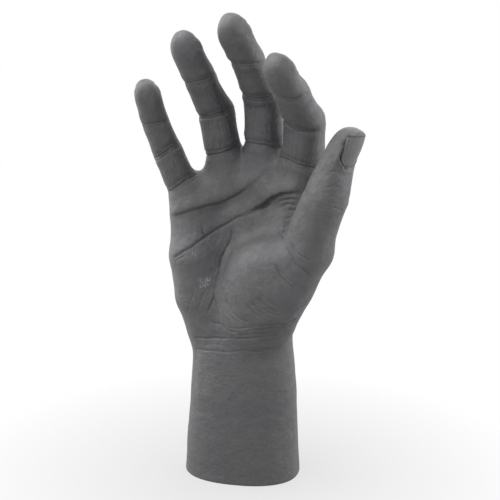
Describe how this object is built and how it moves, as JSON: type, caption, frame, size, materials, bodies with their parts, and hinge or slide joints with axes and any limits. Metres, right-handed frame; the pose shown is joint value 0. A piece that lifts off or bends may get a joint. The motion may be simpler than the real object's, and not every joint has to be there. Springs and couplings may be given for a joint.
{
  "type": "hand mannequin",
  "caption": "Life-size display hand, right, palm open with relaxed fingers, cast as a matte grey shell that stands on its flat wrist end.",
  "frame": {"origin": "middle of the flat wrist end, on the axis of the threaded socket", "axes": "+Z from the wrist end to the fingertips, -Y the way the palm faces, +X the thumb's side"},
  "size_m": [0.1255, 0.0798, 0.264],
  "materials": {
    "cast_shell": "matte",
    "rigid_foam": "matte",
    "plywood": "matte",
    "mild_steel": "satin",
    "zinc_screws": "satin",
    "brass_insert": "satin",
    "black_plate": "matte"
  },
  "bodies": {
    "root": {"hand_shell": "cast_shell", "foam_core": "rigid_foam", "wrist_block": "plywood", "steel_weight": "mild_steel", "weight_screws": "zinc_screws", "stand_insert": "brass_insert", "base_plate": "black_plate", "plate_screws": "zinc_screws"}
  },
  "joints": []
}
